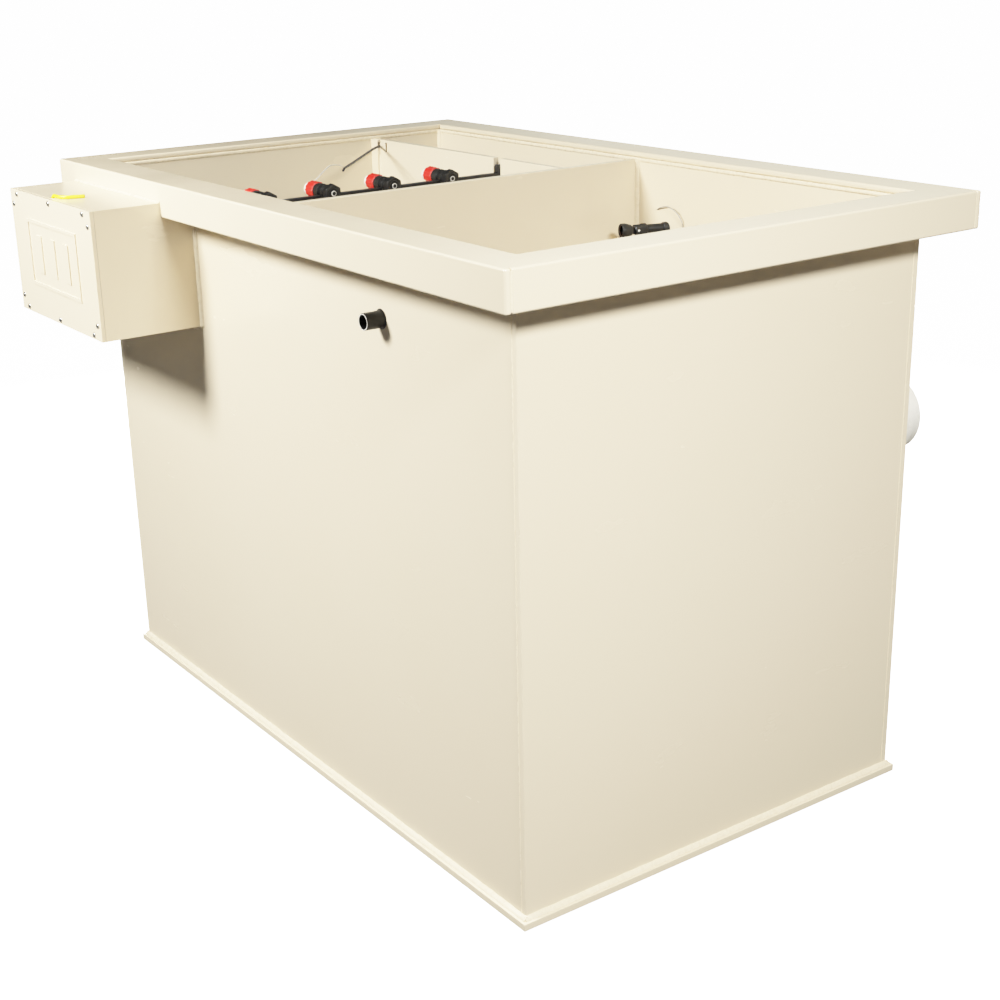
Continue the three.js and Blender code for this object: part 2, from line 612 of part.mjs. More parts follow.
function enclosureCover() {
  const { left, right, bottom, top } = ENCLOSURE;
  const { height, halfWidth, line, above, below, bars, barPitch, barHalf, gap } = RELIEF;
  const middle = (left + right) / 2;
  const raised = COVER_OUTER - height;
  const panel = boxBetween([left, COVER_OUTER, bottom], [right, COVER_INNER, top]);
  const frame = subtract(
    boxBetween(
      [middle - halfWidth, raised, bottom + above], [middle + halfWidth, COVER_OUTER, top - below]),
    boxBetween(
      [middle - halfWidth + line, raised - PASS, bottom + above + line],
      [middle + halfWidth - line, COVER_OUTER + PASS, top - below - line]));
  const uprights = Array.from({ length: bars }, (_, i) => {
    const x = middle + (i - (bars - 1) / 2) * barPitch;
    return boxBetween(
      [x - barHalf, raised, bottom + above + gap], [x + barHalf, COVER_OUTER, top - below - gap]);
  });
  const holes = screwHoles(COVER_OUTER - PASS, COVER_INNER + PASS);
  addPart(machine, 'enclosure_cover', subtract(join(panel, frame, ...uprights), ...holes), CREAM);
}

function enclosureGasket() {
  const { left, right, bottom, top } = ENCLOSURE;
  const back = COVER_INNER + GASKET.thickness;
  const outer = GASKET.inset;
  const inner = GASKET.inset + GASKET.width;
  const ring = subtract(
    boxBetween([left + outer, COVER_INNER, bottom + outer], [right - outer, back, top - outer]),
    boxBetween(
      [left + inner, COVER_INNER - PASS, bottom + inner], [right - inner, back + PASS, top - inner]),
    ...screwHoles(COVER_INNER - PASS, back + PASS));
  addPart(machine, 'enclosure_gasket', ring, RUBBER);
}

function coverScrews() {
  const { headRadius, headHeight, shankRadius, length } = COVER_SCREW;
  const socket = 2;
  const socketDepth = 1.5;
  const screw = turned([
    [0, length], [shankRadius, length], [shankRadius, 0], [headRadius, 0], [headRadius, -headHeight / 2],
    [headRadius - 1, -headHeight], [socket, -headHeight], [socket, socketDepth - headHeight],
    [0, socketDepth - headHeight],
  ], 'y', SCREW_ROUND);
  coverScrewPlaces().forEach(([x, z], i) => {
    const name = `cover_screw_${String(i + 1).padStart(2, '0')}`;
    addPart(machine, name, screw.clone().translate(x, COVER_OUTER, z), STEEL);
  });
}

// The mounting plate and the devices on it; each device is a box that stands on the plate's front face.
function enclosureInside() {
  const { left, right, bottom, sheet } = ENCLOSURE;
  const plateFront = -HALF_WIDTH - sheet - PLATE.standoff;
  const device = (place, size, standoff = 0) => boxBetween(
    [left + place[0], plateFront - standoff - size[1], bottom + place[1]],
    [left + place[0] + size[0], plateFront - standoff, bottom + place[1] + size[2]]);

  addPart(machine, 'mounting_plate', boxBetween(
    [left + PLATE.inset, plateFront, bottom + PLATE.bottom],
    [right - PLATE.inset, plateFront + PLATE.thickness, bottom + PLATE.top]), STEEL);

  const fins = Array.from({ length: FINS.gaps }, (_, i) => device(
    [SUPPLY.left + FINS.first + i * FINS.pitch, SUPPLY.bottom + FINS.margin],
    [FINS.gap, FINS.depth + PASS, SUPPLY.height - 2 * FINS.margin], SUPPLY.depth - FINS.depth));
  const supply = device([SUPPLY.left, SUPPLY.bottom], [SUPPLY.width, SUPPLY.depth, SUPPLY.height]);
  addPart(machine, 'power_supply', subtract(supply, ...fins), GREY);

  const card = device([CARD.left, CARD.bottom], [CARD.width, CARD.thickness, CARD.height], CARD.standoff);
  const relays = Array.from({ length: RELAY.count }, (_, i) => device(
    [CARD.left + RELAY.first + i * RELAY.pitch, CARD.bottom + RELAY.bottom],
    [RELAY.width, RELAY.depth, RELAY.height], CARD.standoff + PASS));
  const footEnds = (size) => [CARD.footInset, size - CARD.footInset - CARD.foot];
  const feet = footEnds(CARD.width).flatMap((x) => footEnds(CARD.height).map((z) => device(
    [CARD.left + x, CARD.bottom + z], [CARD.foot, CARD.standoff + PASS, CARD.foot])));
  addPart(machine, 'control_board', join(card, ...relays, ...feet), BOARD);

  const block = device([BLOCK.left, BLOCK.bottom], [BLOCK.width, BLOCK.depth, BLOCK.height]);
  const wells = Array.from({ length: WELL.count }, (_, i) => device(
    [BLOCK.left + WELL.first + i * WELL.pitch, BLOCK.bottom + WELL.margin],
    [WELL.width, WELL.depth + PASS, BLOCK.height - 2 * WELL.margin], BLOCK.depth - WELL.depth));
  addPart(machine, 'terminal_block', subtract(block, ...wells), GREY);
}

// The cable entry under the enclosure.
function cableGland() {
  const { x, y, radius, bore, flange, flangeHeight, taper, height, inside } = GLAND;
  const bottom = ENCLOSURE.bottom;
  const top = bottom + ENCLOSURE.sheet + inside;
  const shank = radius - FIT / 2;
  const gland = turned([
    [bore, top], [shank, top], [shank, bottom], [flange, bottom], [flange, bottom - flangeHeight],
    [flange - taper, bottom - height], [bore, bottom - height], [bore, top],
  ], 'z');
  addPart(machine, 'cable_gland', gland.translate(x, y, 0), BLACK);
}

function earthLead() {
  const points = EARTH.path.map(([x, y, z]) => [x, y, ENCLOSURE.top + z]);
  addPart(machine, 'earth_lead', rodAlong(points, EARTH.radius, 28), YELLOW);
}

// ---------------------------------------------------------------- assembly

tankShell();
rim();
partitions();
cableDuct();
inletStub();
outletSocket();
carrier();
carrierBracket();
cells();
cellCable();
levelSwitch();
enclosureBody();
enclosureCover();
enclosureGasket();
coverScrews();
enclosureInside();
cableGland();
earthLead();

export default machine;
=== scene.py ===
import json
import math
import random

import bmesh
import bpy
from mathutils import Matrix, Vector


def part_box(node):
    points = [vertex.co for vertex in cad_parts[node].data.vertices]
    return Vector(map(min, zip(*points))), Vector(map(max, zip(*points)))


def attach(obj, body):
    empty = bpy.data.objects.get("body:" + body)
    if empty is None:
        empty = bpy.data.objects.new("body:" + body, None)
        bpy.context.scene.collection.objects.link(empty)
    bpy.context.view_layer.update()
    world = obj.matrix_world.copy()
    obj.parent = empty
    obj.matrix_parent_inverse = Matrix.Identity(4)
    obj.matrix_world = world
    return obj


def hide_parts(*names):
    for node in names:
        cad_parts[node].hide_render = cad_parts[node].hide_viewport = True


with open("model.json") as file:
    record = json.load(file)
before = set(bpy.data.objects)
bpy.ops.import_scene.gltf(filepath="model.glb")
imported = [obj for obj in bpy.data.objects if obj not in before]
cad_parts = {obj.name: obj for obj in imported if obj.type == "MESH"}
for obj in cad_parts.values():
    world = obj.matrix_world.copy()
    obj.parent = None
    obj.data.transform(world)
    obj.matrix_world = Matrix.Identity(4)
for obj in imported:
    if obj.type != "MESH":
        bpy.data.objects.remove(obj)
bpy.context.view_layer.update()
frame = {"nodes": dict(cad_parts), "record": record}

# Looks for the tank-type salt chlorine generator. The CAD nodes stay where they are; this script gives them
# rounded edges and materials, and adds the weld beads, the screw heads and other small details.
# Metres. X runs along the tank, -Y is its front, +Z is up.

NODES = frame["nodes"]
MM = 0.001
SHEET = 10 * MM
PLUS_X, MINUS_X = (1, 0, 0), (-1, 0, 0)
PLUS_Y, MINUS_Y = (0, 1, 0), (0, -1, 0)
UP, DOWN = (0, 0, 1), (0, 0, -1)


# ---------------------------------------------------------------- materials

# A mix node has sockets for numbers and for colours; these are the colour ones.
MIX_FIRST, MIX_SECOND, MIX_RESULT = 6, 7, 2


def srgb(red, green, blue):
    """A colour given as 0-255 screen values, as Blender's linear values."""
    def linear(value):
        value /= 255
        return value / 12.92 if value <= 0.04045 else ((value + 0.055) / 1.055) ** 2.4
    return (linear(red), linear(green), linear(blue), 1.0)


class Finish:
    """A material under construction: nodes are added by the small methods below."""

    def __init__(self, name, color, roughness, metallic=0.0, specular=0.5):
        self.material = bpy.data.materials.new(name)
        self.material.use_nodes = True
        self.tree = self.material.node_tree
        self.bsdf = self.tree.nodes["Principled BSDF"]
        self.bsdf.inputs["Roughness"].default_value = roughness
        self.bsdf.inputs["Metallic"].default_value = metallic
        self.bsdf.inputs["Specular IOR Level"].default_value = specular
        plain = self.tree.nodes.new("ShaderNodeRGB")
        plain.outputs[0].default_value = color
        self.color = plain.outputs[0]
        self.link(self.color, self.bsdf.inputs["Base Color"])
        self.normal = None
        self.coordinates = self.tree.nodes.new("ShaderNodeTexCoord").outputs["Object"]

    def link(self, source, target):
        self.tree.links.new(source, target)

    def noise(self, scale, stretch=(1, 1, 1), detail=4.0):
        mapping = self.tree.nodes.new("ShaderNodeMapping")
        mapping.inputs["Scale"].default_value = stretch
        self.link(self.coordinates, mapping.inputs["Vector"])
        node = self.tree.nodes.new("ShaderNodeTexNoise")
        node.inputs["Scale"].default_value = scale
        node.inputs["Detail"].default_value = detail
        self.link(mapping.outputs[0], node.inputs["Vector"])
        return node.outputs["Fac"]

    def ramp(self, factor, low, high, out_low=0.0, out_high=1.0):
        """Maps low..high to out_low..out_high."""
        node = self.tree.nodes.new("ShaderNodeMapRange")
        node.inputs["From Min"].default_value = low
        node.inputs["From Max"].default_value = high
        node.inputs["To Min"].default_value = out_low
        node.inputs["To Max"].default_value = out_high
        self.link(factor, node.inputs["Value"])
        return node.outputs[0]

    def tint(self, factor, color):
        """Mixes another colour over the present one, by factor."""
        node = self.tree.nodes.new("ShaderNodeMix")
        node.data_type = "RGBA"
        self.link(factor, node.inputs["Factor"])
        self.link(self.color, node.inputs[MIX_FIRST])
        node.inputs[MIX_SECOND].default_value = color
        self.color = node.outputs[MIX_RESULT]
        self.link(self.color, self.bsdf.inputs["Base Color"])

    def vary_roughness(self, factor, low, high):
        self.link(self.ramp(factor, 0.3, 0.7, low, high), self.bsdf.inputs["Roughness"])

    def bump(self, height, distance, strength):
        node = self.tree.nodes.new("ShaderNodeBump")
        node.inputs["Strength"].default_value = strength
        node.inputs["Distance"].default_value = distance
        self.link(height, node.inputs["Height"])
        if self.normal is not None:
            self.link(self.normal, node.inputs["Normal"])
        self.normal = node.outputs[0]
        self.link(self.normal, self.bsdf.inputs["Normal"])

    def painted_edge_highlight(self):
        """1 on sharp outer edges and 0 elsewhere: the mask of a highlight painted along the edges."""
        geometry = self.tree.nodes.new("ShaderNodeNewGeometry")
        return self.ramp(geometry.outputs["Pointiness"], 0.52, 0.60)


def cream_sheet():
    finish = Finish("cream_sheet", srgb(229, 213, 182), 0.22, specular=0.6)
    finish.tint(finish.ramp(finish.noise(2.2, detail=3), 0.35, 0.75, 0, 0.3), srgb(224, 206, 171))
    finish.vary_roughness(finish.noise(6, stretch=(1, 1, 3)), 0.17, 0.28)
    finish.bump(finish.noise(14, detail=1), 0.6 * MM, 0.08)
    return finish.material


def weld_material():
    finish = Finish("weld_bead", srgb(234, 218, 186), 0.3)
    finish.tint(finish.ramp(finish.noise(60), 0.4, 0.7, 0, 0.4), srgb(224, 205, 168))
    finish.vary_roughness(finish.noise(150), 0.2, 0.4)
    finish.bump(finish.noise(260, detail=3), 0.5 * MM, 0.35)
    return finish.material


def black_plastic():
    finish = Finish("black_plastic", srgb(11, 11, 10), 0.42, specular=0.3)
    finish.tint(finish.ramp(finish.noise(35, detail=5), 0.45, 0.75, 0, 0.5), srgb(22, 21, 19))
    # Lighter colour on sharp edges: a painted highlight.
    finish.tint(finish.painted_edge_highlight(), srgb(46, 44, 40))
    finish.vary_roughness(finish.noise(90), 0.34, 0.55)
    finish.bump(finish.noise(900, detail=3), 0.2 * MM, 0.4)
    return finish.material


def red_plastic():
    finish = Finish("red_plastic", srgb(208, 34, 24), 0.36)
    finish.tint(finish.ramp(finish.noise(50, detail=4), 0.4, 0.75, 0, 0.4), srgb(184, 26, 20))
    # Lighter colour on sharp edges: a painted highlight.
    finish.tint(finish.painted_edge_highlight(), srgb(228, 82, 62))
    finish.vary_roughness(finish.noise(120), 0.28, 0.48)
    finish.bump(finish.noise(900, detail=3), 0.2 * MM, 0.35)
    return finish.material


def white_plastic():
    finish = Finish("white_plastic", srgb(232, 228, 216), 0.3)
    finish.tint(finish.ramp(finish.noise(18, detail=4), 0.4, 0.75, 0, 0.4), srgb(222, 217, 204))
    finish.tint(finish.ramp(finish.noise(260, detail=2), 0.62, 0.75, 0, 0.2), srgb(190, 182, 166))
    finish.vary_roughness(finish.noise(60), 0.24, 0.42)
    finish.bump(finish.noise(700, detail=3), 0.2 * MM, 0.3)
    return finish.material


def yellow_insulation():
    finish = Finish("yellow_insulation", srgb(232, 216, 46), 0.4)
    finish.tint(finish.ramp(finish.noise(40), 0.45, 0.7, 0, 0.4), srgb(206, 188, 30))
    finish.vary_roughness(finish.noise(80), 0.32, 0.5)
    finish.bump(finish.noise(600, detail=3), 0.2 * MM, 0.4)
    return finish.material


def seal_rubber():
    finish = Finish("seal_rubber", srgb(205, 196, 178), 0.8)
    finish.tint(finish.ramp(finish.noise(120, detail=5), 0.4, 0.8, 0, 0.5), srgb(182, 172, 152))
    finish.vary_roughness(finish.noise(90), 0.7, 0.9)
    finish.bump(finish.noise(1200, detail=4), 0.3 * MM, 0.6)
    return finish.material


def ring_rubber():
    finish = Finish("ring_rubber", srgb(82, 60, 42), 0.5)
    finish.tint(finish.ramp(finish.noise(160, detail=4), 0.4, 0.7, 0, 0.5), srgb(60, 44, 32))
    finish.vary_roughness(finish.noise(200), 0.42, 0.6)
    finish.bump(finish.noise(1200, detail=3), 0.2 * MM, 0.5)
    return finish.material


def zinc_steel():
    finish = Finish("zinc_steel", srgb(186, 186, 182), 0.3, metallic=1.0)
    finish.tint(finish.ramp(finish.noise(140, detail=5), 0.4, 0.7, 0, 0.6), srgb(142, 141, 134))
    finish.vary_roughness(finish.noise(60, stretch=(1, 1, 12)), 0.24, 0.45)
    finish.bump(finish.noise(500, stretch=(1, 1, 20), detail=2), 0.1 * MM, 0.4)
    return finish.material


def titanium():
    finish = Finish("titanium", srgb(150, 146, 140), 0.42, metallic=1.0)
    finish.tint(finish.ramp(finish.noise(22, detail=5), 0.35, 0.7, 0, 0.7), srgb(92, 88, 86))
    finish.vary_roughness(finish.noise(40), 0.34, 0.6)
    finish.bump(finish.noise(400, stretch=(1, 1, 0.3), detail=3), 0.3 * MM, 0.5)
    return finish.material


def circuit_board():
    finish = Finish("circuit_board", srgb(34, 92, 58), 0.35)
    finish.tint(finish.ramp(finish.noise(300, stretch=(1, 1, 0.1), detail=0), 0.52, 0.54), srgb(52, 122, 76))
    finish.tint(finish.ramp(finish.noise(900, detail=1), 0.68, 0.72), srgb(196, 188, 160))
    finish.bump(finish.noise(300, detail=0), 0.2 * MM, 0.4)
    return finish.material


def grey_housing():
    finish = Finish("grey_housing", srgb(164, 159, 148), 0.45)
    finish.tint(finish.ramp(finish.noise(25, detail=4), 0.4, 0.75, 0, 0.5), srgb(142, 137, 126))
    finish.vary_roughness(finish.noise(80), 0.36, 0.56)
    finish.bump(finish.noise(900, detail=3), 0.2 * MM, 0.5)
    return finish.material


FINISHES = {
    "cream_sheet": cream_sheet(),
    "black_plastic": black_plastic(),
    "red_plastic": red_plastic(),
    "white_plastic": white_plastic(),
    "yellow_insulation": yellow_insulation(),
    "seal_rubber": seal_rubber(),
    "zinc_steel": zinc_steel(),
    "titanium": titanium(),
    "circuit_board": circuit_board(),
    "grey_housing": grey_housing(),
}
WELD = weld_material()
RING = ring_rubber()


# ---------------------------------------------------------------- CAD nodes

EDGE_RADIUS = {"cream_sheet": 1.2 * MM, "white_plastic": 0.35 * MM, "seal_rubber": 0.4 * MM}
RIM_EDGE = 3.2 * MM
SMALL_EDGE = 0.5 * MM
MERGE_DISTANCE = 0.01 * MM
FLAT_WITHIN = math.radians(1)
EDGE_FROM = math.radians(35)
RODS = ("cell_cable", "cell_lead", "level_switch_lead", "earth_lead")


def clean_shading(node):
    """Joins a node's points by a modifier and drops its packed normals, so that it can shade smoothly."""
    for attribute in ("custom_normal", "sharp_edge", "sharp_face"):
        if attribute in node.data.attributes:
            node.data.attributes.remove(node.data.attributes[attribute])
    weld = node.modifiers.new("weld", "WELD")
    weld.merge_threshold = MERGE_DISTANCE


def soften(node, width):
    """Rounds the edges of a CAD node by modifiers. Its mesh stays as it is."""
    clean_shading(node)
    flat = node.modifiers.new("flat_faces", "DECIMATE")
    flat.decimate_type = "DISSOLVE"
    flat.angle_limit = FLAT_WITHIN
    bevel = node.modifiers.new("bevel", "BEVEL")
    bevel.width = width
    bevel.segments = 3
    bevel.limit_method = "ANGLE"
    bevel.angle_limit = EDGE_FROM
    bevel.use_clamp_overlap = True
    normals = node.modifiers.new("normals", "WEIGHTED_NORMAL")
    normals.keep_sharp = True


def dress_nodes():
    for name, node in NODES.items():
        finish = node.material_slots[0].material.name
        node.material_slots[0].material = FINISHES[finish]
        if name in RODS:
            clean_shading(node)
        elif name.startswith("rim_"):
            soften(node, RIM_EDGE)
        else:
            soften(node, EDGE_RADIUS.get(finish, SMALL_EDGE))


# ---------------------------------------------------------------- shapes of the added pieces

TURN_FACETS = 32
SAME_POINT = 1e-7
NO_LENGTH = 1e-8


def new_piece(name, mesh, finish, body, place=(0, 0, 0), turn=(0, 0, 0)):
    """A piece of the object that moves with a CAD body. turn holds its angles about X, Y and Z."""
    piece = bpy.data.objects.new(name, mesh)
    bpy.context.scene.collection.objects.link(piece)
    if not mesh.materials:
        mesh.materials.append(finish)
    piece.location = place
    piece.rotation_euler = turn
    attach(piece, body)
    return piece


def add_loop(shape, points):
    return [shape.verts.new(point) for point in points]


def join_loops(shape, first, second):
    """A band of faces between two closed runs of points."""
    for i in range(len(first)):
        j = (i + 1) % len(first)
        shape.faces.new((first[i], first[j], second[j], second[i]))


def smooth_mesh(name, shape, sharp_angle):
    """A mesh of the finished shape, smooth except where faces meet at more than sharp_angle degrees."""
    bmesh.ops.recalc_face_normals(shape, faces=shape.faces)
    mesh = bpy.data.meshes.new(name)
    shape.to_mesh(mesh)
    shape.free()
    mesh.polygons.foreach_set("use_smooth", [True] * len(mesh.polygons))
    mesh.set_sharp_from_angle(angle=math.radians(sharp_angle))
    return mesh


def swept_mesh(name, rings):
    """A closed skin through rings of points, flat at both ends."""
    shape = bmesh.new()
    loops = [add_loop(shape, ring) for ring in rings]
    for first, second in zip(loops, loops[1:]):
        join_loops(shape, first, second)
    shape.faces.new(loops[0])
    shape.faces.new(list(reversed(loops[-1])))
    return smooth_mesh(name, shape, sharp_angle=50)


def turned_mesh(name, profile, axis):
    """A solid of revolution. profile is a closed run of (radius, distance along the axis) points."""
    along = Vector(axis)
    across = along.orthogonal().normalized()
    other = along.cross(across)
    shape = bmesh.new()
    loops = []
    for i in range(TURN_FACETS):
        angle = 2 * math.pi * i / TURN_FACETS
        outward = across * math.cos(angle) + other * math.sin(angle)
        loops.append(add_loop(shape, [outward * radius + along * distance for radius, distance in profile]))
    for first, second in zip(loops, loops[1:] + loops[:1]):
        join_loops(shape, first, second)
    # Points on the axis are in every loop, so they are joined. The faces and edges that this closes go.
    bmesh.ops.remove_doubles(shape, verts=shape.verts, dist=SAME_POINT)
    bmesh.ops.dissolve_degenerate(shape, edges=shape.edges, dist=NO_LENGTH)
    bare_edges = [edge for edge in shape.edges if not edge.link_faces]
    bmesh.ops.delete(shape, geom=bare_edges, context="EDGES")
    return smooth_mesh(name, shape, sharp_angle=40)


# ---------------------------------------------------------------- weld beads

BEAD_STEP = 9 * MM
BEAD_ARC = 5
BEAD_CURVE = 1.35  # 1 is a fully round face, 2 a flat one
BEAD_RIPPLE = (0.93, 1.05)
SEAM_WIDTH_RIPPLE = (0.9, 1.08)
SEAM_HEIGHT_RIPPLE = (0.85, 1.1)
MITRE_HALF = 4 * MM
MITRE_DEPTH = 2 * MM
MITRE_SUNK = 0.01 * MM


def places_along(start, end):
    """Evenly spaced points from start to end, one to each ripple of a weld."""
    start, end = Vector(start), Vector(end)
    steps = max(2, round((end - start).length / BEAD_STEP))
    return [start.lerp(end, i / steps) for i in range(steps + 1)]


def add_weld(name, rings):
    new_piece(name, swept_mesh(name, rings), WELD, "tank")


def bead(name, start, end, leg, side_a, side_b):
    """A hand-laid fillet in the corner between two sheets. The sides point along the sheets."""
    side_a, side_b = Vector(side_a), Vector(side_b)
    ripple = random.Random(name)
    rings = []
    for corner in places_along(start, end):
        size = leg * ripple.uniform(*BEAD_RIPPLE)
        ring = [corner]
        for k in range(BEAD_ARC + 1):
            angle = math.pi / 2 * k / BEAD_ARC
            reach_a, reach_b = math.cos(angle) ** BEAD_CURVE, math.sin(angle) ** BEAD_CURVE
            ring.append(corner + side_a * size * reach_a + side_b * size * reach_b)
        rings.append(ring)
    add_weld(name, rings)


def seam(name, start, end, width, height, across, outward):
    """A low flat weld over a butt joint."""
    across, outward = Vector(across), Vector(outward)
    ripple = random.Random(name)
    rings = []
    for middle in places_along(start, end):
        half = width / 2 * ripple.uniform(*SEAM_WIDTH_RIPPLE)
        rise = height * ripple.uniform(*SEAM_HEIGHT_RIPPLE)
        ring = [middle - outward * height - across * half]
        for k in range(BEAD_ARC + 1):
            angle = math.pi * (1 - k / BEAD_ARC)
            ring.append(middle + across * half * math.cos(angle) + outward * rise * math.sin(angle))
        ring.append(middle - outward * height + across * half)
        rings.append(ring)
    add_weld(name, rings)


def mitre_fill(name, outer, inner):
    """A strip of sheet material that fills the groove of a mitre, level with the flange's top."""
    along = (inner - outer).normalized()
    across = Vector((-along.y, along.x, 0)) * MITRE_HALF
    low, high = Vector((0, 0, -MITRE_DEPTH)), Vector((0, 0, -MITRE_SUNK))
    rings = [
        [end + across + low, end + across + high, end - across + high, end - across + low]
        for end in (outer, inner)]
    new_piece(name, swept_mesh(name, rings), FINISHES["cream_sheet"], "tank")


def tank_welds():
    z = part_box("base_plate")[1].z
    wall_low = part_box("front_wall")[0]
    wall_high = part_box("back_wall")[1]
    left, front, right, back, top = wall_low.x, wall_low.y, wall_high.x, wall_high.y, wall_high.z
    inner_left, inner_right = left + SHEET, right - SHEET
    inner_front, inner_back = front + SHEET, back - SHEET

    # Round the foot of the tank, outside.
    leg = 6.5 * MM
    past = 0.55 * leg
    bead("weld_base_front", (left - past, front, z), (right + past, front, z), leg, MINUS_Y, UP)
    bead("weld_base_back", (left - past, back, z), (right + past, back, z), leg, PLUS_Y, UP)
    bead("weld_base_left", (left, front - past, z), (left, back + past, z), leg, MINUS_X, UP)
    bead("weld_base_right", (right, front - past, z), (right, back + past, z), leg, PLUS_X, UP)

    # The upright corners, inside.
    leg = 6 * MM
    corners = (
        (inner_left, inner_front, PLUS_X, PLUS_Y), (inner_right, inner_front, MINUS_X, PLUS_Y),
        (inner_right, inner_back, MINUS_X, MINUS_Y), (inner_left, inner_back, PLUS_X, MINUS_Y))
    for i, (x, y, side_a, side_b) in enumerate(corners):
        bead(f"weld_corner_{i + 1}", (x, y, z), (x, y, top), leg, side_a, side_b)

    # The butt joints of the walls, outside.
    width, height = 2.4 * MM, 0.9 * MM
    joints = {
        "front": (inner_right, front, PLUS_X, MINUS_Y), "right": (right, inner_back, PLUS_Y, PLUS_X),
        "back": (inner_left, back, PLUS_X, PLUS_Y), "left": (left, inner_front, PLUS_Y, MINUS_X)}
    for side, (x, y, across, outward) in joints.items():
        seam(f"seam_{side}", (x, y, z), (x, y, top), width, height, across, outward)

    # A band between the top of each wall and the flange, inside.
    width, height = 7 * MM, 1.6 * MM
    band_z = top - width / 2
    bands = {
        "front": (inner_left, inner_front, inner_right, inner_front, PLUS_Y),
        "back": (inner_left, inner_back, inner_right, inner_back, MINUS_Y),
        "left": (inner_left, inner_front, inner_left, inner_back, PLUS_X),
        "right": (inner_right, inner_front, inner_right, inner_back, MINUS_X)}
    for side, (x_1, y_1, x_2, y_2, outward) in bands.items():
        seam(f"weld_flange_{side}", (x_1, y_1, band_z), (x_2, y_2, band_z), width, height, UP, outward)

    # Outside, under the flange.
    leg = 6 * MM
    bead("weld_ledge_front", (left, front, top), (right, front, top), leg, MINUS_Y, DOWN)
    bead("weld_ledge_back", (left, back, top), (right, back, top), leg, PLUS_Y, DOWN)
    bead("weld_ledge_left", (left, front, top), (left, back, top), leg, MINUS_X, DOWN)
    bead("weld_ledge_right", (right, front, top), (right, back, top), leg, PLUS_X, DOWN)


def partition_welds():
    main_low, main_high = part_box("main_partition")
    rear_low, rear_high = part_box("rear_partition")
    foot = main_low.z
    leg = 6 * MM
    front, back, top = main_low.y, main_high.y, main_high.z
    for number, side, x in ((1, MINUS_X, main_low.x), (2, PLUS_X, main_high.x)):
        bead(f"weld_main_front_{number}", (x, front, foot), (x, front, top), leg, side, PLUS_Y)
        bead(f"weld_main_back_{number}", (x, back, foot), (x, back, top), leg, side, MINUS_Y)
    left, right, top = rear_low.x, rear_high.x, rear_high.z
    for number, side, y in ((1, MINUS_Y, rear_low.y), (2, PLUS_Y, rear_high.y)):
        bead(f"weld_rear_right_{number}", (right, y, foot), (right, y, top), leg, side, MINUS_X)
    y = rear_high.y
    bead("weld_rear_left", (left, y, foot), (left, y, top), leg, PLUS_Y, PLUS_X)


def enclosure_welds():
    low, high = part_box("enclosure_body")
    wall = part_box("front_wall")[0].y
    rim_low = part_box("rim_front")[0]
    leg, thin_leg = 5.5 * MM, 3 * MM
    bead("weld_enclosure_right", (high.x, wall, low.z), (high.x, wall, rim_low.z), leg, PLUS_X, MINUS_Y)
    bead("weld_enclosure_left", (low.x, wall, low.z), (low.x, wall, rim_low.z), leg, MINUS_X, MINUS_Y)
    bead("weld_enclosure_foot", (low.x, wall, low.z), (high.x, wall, low.z), leg, DOWN, MINUS_Y)
    fascia = rim_low.y
    bead("weld_enclosure_top", (low.x, fascia, high.z), (high.x, fascia, high.z), thin_leg, UP, MINUS_Y)


def duct_weld():
    """Along the duct's side, stopping below the gap where the cable comes out."""
    low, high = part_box("cable_duct")
    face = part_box("rear_partition")[0].y
    leg, cable_gap = 3 * MM, 30 * MM
    end = high.z - cable_gap
    bead("weld_duct", (high.x, face, low.z), (high.x, face, end), leg, PLUS_X, MINUS_Y)


def bracket_welds():
    low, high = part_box("carrier_bracket")
    leg = 5 * MM
    for number, side, x in ((1, MINUS_X, low.x), (2, PLUS_X, high.x)):
        bead(f"weld_bracket_{number}", (x, low.y, low.z), (x, low.y, high.z), leg, side, PLUS_Y)


def rim_joints():
    """The mitres of the flange, filled and scraped flush, and the corners of the fascias."""
    low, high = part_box("rim_front")
    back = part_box("rim_back")[1].y
    inset, reach = 4 * MM, 68 * MM
    width, sunk = 3 * MM, 0.6 * MM
    rise = 0.9 * sunk  # so that no ripple stands out past the rim's face
    foot, top = low.z + width, high.z - width
    for x, inward, outward, hand in ((low.x, 1, MINUS_X, "left"), (high.x, -1, PLUS_X, "right")):
        for y, step, end in ((low.y, 1, "front"), (back, -1, "back")):
            outer = Vector((x + inward * inset, y + step * inset, high.z))
            inner = Vector((x + inward * reach, y + step * reach, high.z))
            mitre_fill(f"mitre_{end}_{hand}", outer, inner)
            face, joint = x + inward * sunk, y + step * SHEET
            seam(f"seam_fascia_{end}_{hand}", (face, joint, foot), (face, joint, top),
                 width, rise, PLUS_Y, outward)


# ---------------------------------------------------------------- cover screws

HEAD_RADIUS = 4.5 * MM
HEAD_HEIGHT = 2.5 * MM
HEAD_FLAT = 0.15  # the share of the head's radius where its top is flat
HEAD_FALL = 3.2
HEAD_RIM = 0.3 * MM
HEAD_RINGS = 20
HEAD_SPOKES = 64
SHANK_RADIUS = 2.0 * MM
SHANK_LENGTH = 22 * MM
THREAD_PITCH = 1.2 * MM
THREAD_ROOT = 0.8  # shares of the shank's radius
SHANK_TIP = 0.3
RECESS_HALF = 0.55 * MM
RECESS_LENGTH = 2.5 * MM
RECESS_DEPTH = 1.5 * MM
RECESS_TAPER = 0.7 * MM
COVER_RELIEF = 2 * MM  # how far the cover's frame and fins stand out


def head_height(x, z):
    """How far a pan head stands out at a place on it, with its cross recess."""
    radius = math.hypot(x, z) / HEAD_RADIUS
    height = HEAD_HEIGHT * (1 - max(0, radius - HEAD_FLAT) ** HEAD_FALL)
    short, long = sorted((abs(x), abs(z)))
    if short < RECESS_HALF and long < RECESS_LENGTH:
        height -= RECESS_DEPTH * min(1, (RECESS_LENGTH - long) / RECESS_TAPER)
    return max(height, HEAD_RIM)


